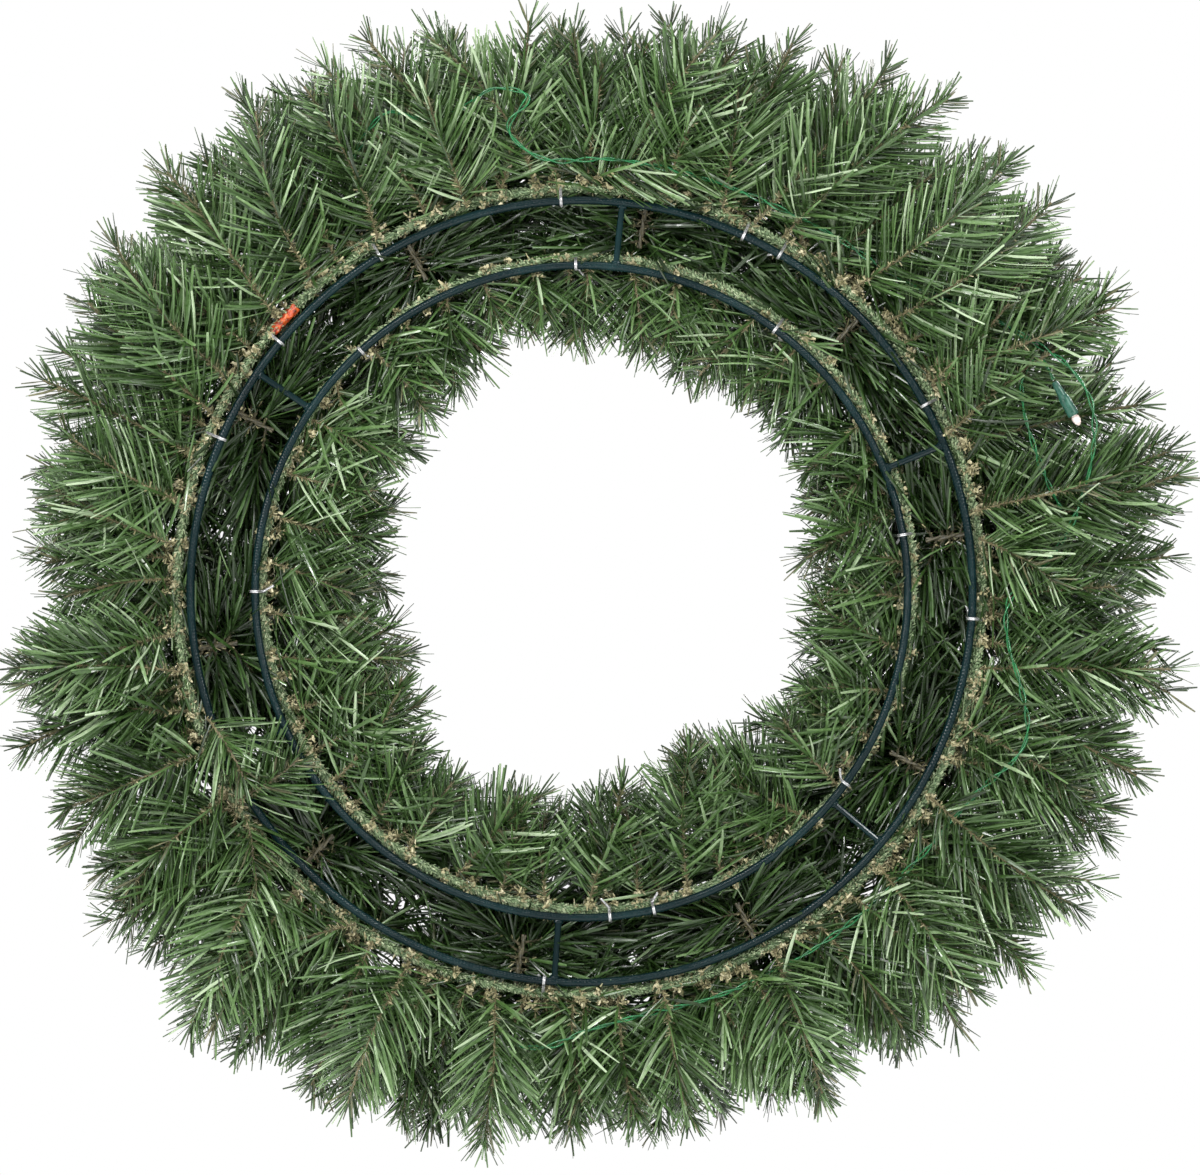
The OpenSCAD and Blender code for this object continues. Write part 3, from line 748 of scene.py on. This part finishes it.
def welds():
    rng = np.random.default_rng(8)
    soup = Soup()
    for b in BARS:
        for r, wr, sgn in ((171.0, 2.1, 1), (205.0, 2.15, -1)):
            c = (r + sgn * (wr + 0.1)) * e_r(b)
            n, m = 9, 12
            rr = []
            for i in range(n):
                th = math.pi * i / (n - 1)
                ring = []
                for k in range(m):
                    ph = 2 * math.pi * k / m
                    w = 1 + 0.09 * math.sin(3 * ph + b) * math.sin(2 * th) + rng.normal(0, 0.02)
                    ring.append(c + w * (2.6 * math.cos(th) * e_t(b) + 1.5 * math.sin(th) * math.cos(ph) * e_r(b) + 2.0 * math.sin(th) * math.sin(ph) * EZ))
                rr.append(ring)
            v = np.array(rr).reshape(-1, 3)
            q = [[i * m + k, i * m + (k + 1) % m, (i + 1) * m + (k + 1) % m, (i + 1) * m + k] for i in range(n - 1) for k in range(m)]
            soup.add(v, q, 0, 0.5, 0.5)
    return soup.piece("weld_beads", [PAINT], "frame")


welds()


def tape():
    rng = np.random.default_rng(9)
    soup = Soup()
    first, over, n, m = 134.8, 5.0, 48, 30
    v = []
    for i in range(n):
        x = i / (n - 1)
        a = first + over * x
        # the wrap sits to the ring's side of the film and is creased
        c = np.array([*(OUT_C + (OUT_R - 0.7) * e_r(a)[:2]), OUT_Z + 0.5])
        for k in range(m):
            ph = 2 * math.pi * k / m
            w = 2.5 + 0.2 * math.sin(2 * ph + 9 * x) + 0.2 * math.sin(5 * ph - 14 * x) + 0.14 * math.sin(31 * x + 2 * ph) + 0.1 * math.sin(9 * ph + 40 * x)
            w *= 0.86 + 0.14 * math.sin(math.pi * min(1, 0.12 + x)) ** 0.3
            v.append(c + w * (math.cos(ph) * e_r(a) + math.sin(ph) * EZ) + rng.normal(0, 0.04, 3))
    v = np.array(v)
    q = [[i * m + k, i * m + (k + 1) % m, (i + 1) * m + (k + 1) % m, (i + 1) * m + k] for i in range(n - 1) for k in range(m)]
    inner = v.copy()
    for i in range(n):
        c = v[i * m : (i + 1) * m].mean(0)
        inner[i * m : (i + 1) * m] = c + (v[i * m : (i + 1) * m] - c) * 0.9
    s = len(v)
    q += [[s + i * m + k, s + (i + 1) * m + k, s + (i + 1) * m + (k + 1) % m, s + i * m + (k + 1) % m] for i in range(n - 1) for k in range(m)]
    e = (n - 1) * m
    for k in range(m):
        k2 = (k + 1) % m
        q += [[k, s + k, s + k2, k2], [e + k, e + k2, s + e + k2, s + e + k]]
    soup.add(np.concatenate([v, inner]), q, 0, 0.5, 0.5)
    return soup.piece("orange_tape_wrap", [TAPE], "frame", ["tape_tag"])


tape()

# ------------------------------------------------------------------ light string
def light_string():
    soup = Soup()
    for pts in (RUN, LEAD):
        p = smooth(pts, 14)
        d = np.concatenate([[0], np.cumsum(np.linalg.norm(np.diff(p, axis=0), axis=1))])
        # the two wires part and close again as they twist
        t, s, u = frames(p)
        for c in range(2):
            a = 2 * math.pi * (d / 26 + c / 2)
            off = 0.5 + 0.75 * np.sin(d / 17.0) ** 2
            tube(soup, p + (off * np.cos(a))[:, None] * s + (off * np.sin(a))[:, None] * u, 0.46, 8, 0)
    return soup.piece("light_string", [WIRE], "frame", ["light_wire"])


light_string()
for name, mat in (("lamp_holder", HOLDER), ("lamp", GLASS)):
    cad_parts[name].data.materials.clear()
    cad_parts[name].data.materials.append(mat)


def lamp_inside():
    """Two lead wires and a filament, seen through the lamp's glass."""
    soup = Soup()
    side = unit(np.cross(HOLDER_DIR, EZ))
    for sgn in (-1, 1):
        tube(soup, [HOLDER_AT + HOLDER_DIR * h + sgn * 0.6 * side for h in np.linspace(17.5, 24.0, 8)], 0.12, 6, 0)
    x = np.linspace(0, 1, 40)
    coil = HOLDER_AT + HOLDER_DIR * 24.0 + np.outer(0.6 - 1.2 * x, side)
    coil = coil + 0.16 * (np.cos(x * 44)[:, None] * HOLDER_DIR + np.sin(x * 44)[:, None] * EZ)
    tube(soup, coil, 0.05, 5, 0)
    return soup.piece("lamp_filament", [TIE], "frame")


lamp_inside()

# ------------------------------------------------------------------ stage, light, camera
scene = bpy.context.scene
scene.view_settings.view_transform = "Standard"
scene.view_settings.look = "None"

lo, hi = CAD_BOX
floor_me = bpy.data.meshes.new("studio_floor")
fz, seg = lo[2] - 0.22, 64
fv = [(0.0, 0.0, fz)] + [(1.5 * math.cos(2 * math.pi * k / seg), 1.5 * math.sin(2 * math.pi * k / seg), fz) for k in range(seg)]
floor_me.from_pydata(fv, [], [(0, 1 + k, 1 + (k + 1) % seg) for k in range(seg)])
floor = bpy.data.objects.new("studio_floor", floor_me)
scene.collection.objects.link(floor)
fm, fnt, fp = new_mat("pale_floor", (0.86, 0.86, 0.86), 0.7)
fnt.links.new(ramp(fnt, obj_noise(fnt, 3, 2), [(0.3, (0.84, 0.84, 0.84)), (0.7, (0.88, 0.88, 0.88))]), fp.inputs["Base Color"])
floor_me.materials.append(fm)

world = bpy.data.worlds.new("studio")
scene.world = world
world.use_nodes = True
world.node_tree.nodes["Background"].inputs["Color"].default_value = (1, 1, 1, 1)
world.node_tree.nodes["Background"].inputs["Strength"].default_value = 1.0


def softbox(name, at, to, size, power):
    light = bpy.data.lights.new(name, "AREA")
    light.shape, light.size, light.size_y, light.energy = "RECTANGLE", size[0], size[1], power
    ob = bpy.data.objects.new(name, light)
    ob.location = at
    ob.rotation_euler = (Vector(to) - Vector(at)).to_track_quat("-Z", "Y").to_euler()
    ob.visible_camera = False
    scene.collection.objects.link(ob)


MID = (0.0, 0.0, -DROP / 1000)
softbox("key_left", (1.5, 1.7, 0.9), MID, (0.5, 0.5), 52)
softbox("key_right", (-1.5, 1.6, 0.8), MID, (0.35, 0.35), 32)
softbox("over_camera", (0.35, 2.6, 0.75), MID, (0.35, 0.35), 20)
softbox("low_left", (1.2, 1.9, -1.1), MID, (0.22, 0.22), 26)
softbox("low_right", (-0.9, 2.2, -1.0), MID, (0.3, 0.3), 12)
softbox("top", (0.0, 0.3, 1.6), MID, (1.2, 0.8), 22)
softbox("face_left", (-1.4, -1.7, 0.8), MID, (0.6, 0.6), 72)
softbox("face_right", (1.5, -1.4, 0.4), MID, (0.4, 0.6), 44)

cam = bpy.data.cameras.new("photo_view")
cam.sensor_width, cam.lens = 36.0, 2.4 * 36 / 0.6288
camera = bpy.data.objects.new("photo_view", cam)
camera.location = (-0.0097, 2.4, -DROP / 1000 + 0.0021)
camera.rotation_euler = (math.pi / 2, 0, math.pi)
scene.collection.objects.link(camera)
scene.camera = camera
